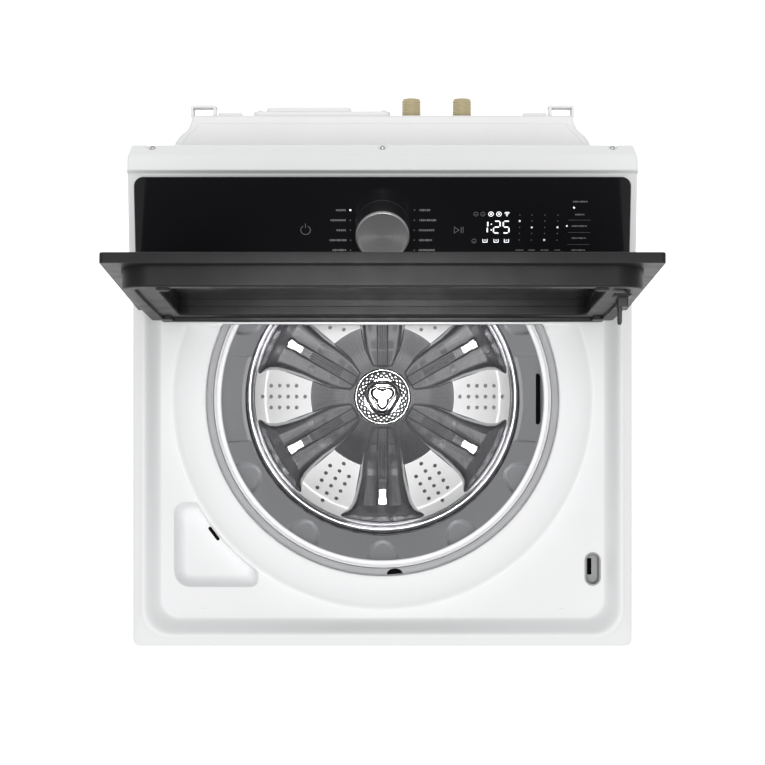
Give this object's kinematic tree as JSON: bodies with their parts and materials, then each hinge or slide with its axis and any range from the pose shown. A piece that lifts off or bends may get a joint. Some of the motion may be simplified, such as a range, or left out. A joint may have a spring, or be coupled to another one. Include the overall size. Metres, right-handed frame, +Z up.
{
  "type": "top load washing machine",
  "caption": "Free-standing top-loading washing machine, lid standing open over a steel tub with a winged pulsator, dark sloped control panel with a dial",
  "frame": {"origin": "on the floor under the middle of the machine's overall box, lid open", "axes": "+Z up, front of the machine faces -Y, +X to the right seen from the front"},
  "size_m": [0.686, 0.755, 1.4633],
  "materials": {
    "body_enamel": "white baked enamel, glossy",
    "galvanised": "galvanised sheet steel",
    "cover_white": "white moulded plastic, glossy",
    "rear_white": "white moulded plastic, satin",
    "black_glass": "black printed tempered glass",
    "smoked_glass": "dark tempered glass",
    "knob_metal": "dark spun metal",
    "lid_plastic": "charcoal moulded plastic, satin",
    "dark_plastic": "dark moulded plastic",
    "grey_plastic": "grey moulded plastic",
    "tub_plastic": "pale grey polypropylene",
    "ring_plastic": "grey moulded plastic",
    "stainless": "stainless steel",
    "dark_chrome": "dark metallised moulded plastic, polished",
    "bright_steel": "bright polished steel",
    "cast_aluminium": "cast aluminium",
    "plated_steel": "zinc-plated steel",
    "black_rubber": "black rubber",
    "inlet_tan": "tan moulded plastic thread",
    "circuit_green": "green circuit board",
    "copper_winding": "enamelled copper windings on a moulded core",
    "frame_steel": "dark painted steel"
  },
  "bodies": {
    "cabinet": {"base_frame": "frame_steel", "foot_nuts": "plated_steel", "cabinet_shell": "body_enamel", "back_panel": "galvanised", "rear_housing": "rear_white", "hose_hooks": "rear_white", "service_cover": "rear_white", "top_cover": "cover_white", "console_housing": "cover_white", "console_glass": "black_glass", "knob_encoder": "plated_steel", "display_board": "circuit_green", "main_control_box": "dark_plastic", "hinge_brackets": "cast_aluminium", "lock_bezel": "grey_plastic", "lid_lock_body": "dark_plastic", "bleach_cup": "cover_white", "drawer_housing": "tub_plastic", "inlet_valve_cold": "inlet_tan", "inlet_valve_hot": "inlet_tan", "rod_sockets": "galvanised", "suspension_rods": "plated_steel", "suspension_springs": "plated_steel", "drain_pump": "dark_plastic", "sump_bellows": "black_rubber", "drain_hose": "grey_plastic", "cord_gland": "black_rubber"},
    "lid": {"lid_outer_frame": "lid_plastic", "lid_inner_frame": "lid_plastic", "lid_glass": "smoked_glass", "lid_hinge_pins": "plated_steel", "latch_striker": "dark_plastic", "lid_bumpers": "black_rubber"},
    "knob": {"control_knob": "knob_metal"},
    "tub": {"outer_tub": "tub_plastic", "tub_cover": "ring_plastic", "bearing_housing": "cast_aluminium", "bearings": "plated_steel", "shaft_seal": "black_rubber", "stator": "copper_winding", "damper_cups": "grey_plastic"},
    "basket": {"basket_wall": "stainless", "basket_base": "cast_aluminium", "balance_ring": "ring_plastic", "spin_tube": "plated_steel"},
    "pulsator": {"pulsator_plate": "dark_chrome", "pulsator_wings": "dark_chrome", "pulsator_petals": "stainless", "hub_cap": "bright_steel", "shaft_fasteners": "plated_steel", "drive_shaft": "plated_steel", "rotor": "galvanised"},
    "clutch": {"clutch_coupler": "tub_plastic"},
    "pump_rotor": {"pump_impeller": "dark_plastic"},
    "lock_bolt": {"lid_lock_bolt": "plated_steel"},
    "drawer": {"detergent_drawer": "grey_plastic"},
    "leg_front_left": {"foot_front_left": "frame_steel"},
    "leg_front_right": {"foot_front_right": "frame_steel"},
    "leg_rear_left": {"foot_rear_left": "frame_steel"},
    "leg_rear_right": {"foot_rear_right": "frame_steel"}
  },
  "joints": [
    {"name": "lid_hinge", "type": "hinge", "parent": "cabinet", "child": "lid", "pos_m": [0, 0.0855, 1.015], "axis": [1, 0, 0], "range_deg": [0, 95.5]},
    {"name": "knob_turn", "type": "hinge", "parent": "cabinet", "child": "knob", "pos_m": [0, 0.1955, 1.0861], "axis": [0, -0.4695, 0.8829], "continuous": true},
    {"name": "tub_suspension", "type": "slide", "parent": "cabinet", "child": "tub", "axis": [0, 0, 1], "range_m": [-0.02, 0.008], "stiffness_N_per_m": 14000, "springref_m": 0.02665, "deforming": ["suspension_springs", "sump_bellows"]},
    {"name": "basket_spin", "type": "hinge", "parent": "tub", "child": "basket", "pos_m": [0, -0.0385, 0.5], "axis": [0, 0, 1], "continuous": true},
    {"name": "pulsator_spin", "type": "hinge", "parent": "tub", "child": "pulsator", "pos_m": [0, -0.0385, 0.35], "axis": [0, 0, 1], "continuous": true},
    {"name": "clutch_slide", "type": "slide", "parent": "basket", "child": "clutch", "axis": [0, 0, 1], "range_m": [0, 0.006]},
    {"name": "pump_spin", "type": "hinge", "parent": "cabinet", "child": "pump_rotor", "pos_m": [-0.236, -0.1485, 0.115], "axis": [0, 0, 1], "continuous": true},
    {"name": "lock_bolt_slide", "type": "slide", "parent": "cabinet", "child": "lock_bolt", "axis": [-1, 0, 0], "range_m": [0, 0.0085]},
    {"name": "drawer_slide", "type": "slide", "parent": "cabinet", "child": "drawer", "axis": [0, -1, 0], "range_m": [0, 0.08]},
    {"name": "leg_front_left_adjust", "type": "slide", "parent": "cabinet", "child": "leg_front_left", "axis": [0, 0, -1], "range_m": [0, 0.02]},
    {"name": "leg_front_right_adjust", "type": "slide", "parent": "cabinet", "child": "leg_front_right", "axis": [0, 0, -1], "range_m": [0, 0.02]},
    {"name": "leg_rear_left_adjust", "type": "slide", "parent": "cabinet", "child": "leg_rear_left", "axis": [0, 0, -1], "range_m": [0, 0.02]},
    {"name": "leg_rear_right_adjust", "type": "slide", "parent": "cabinet", "child": "leg_rear_right", "axis": [0, 0, -1], "range_m": [0, 0.02]}
  ]
}
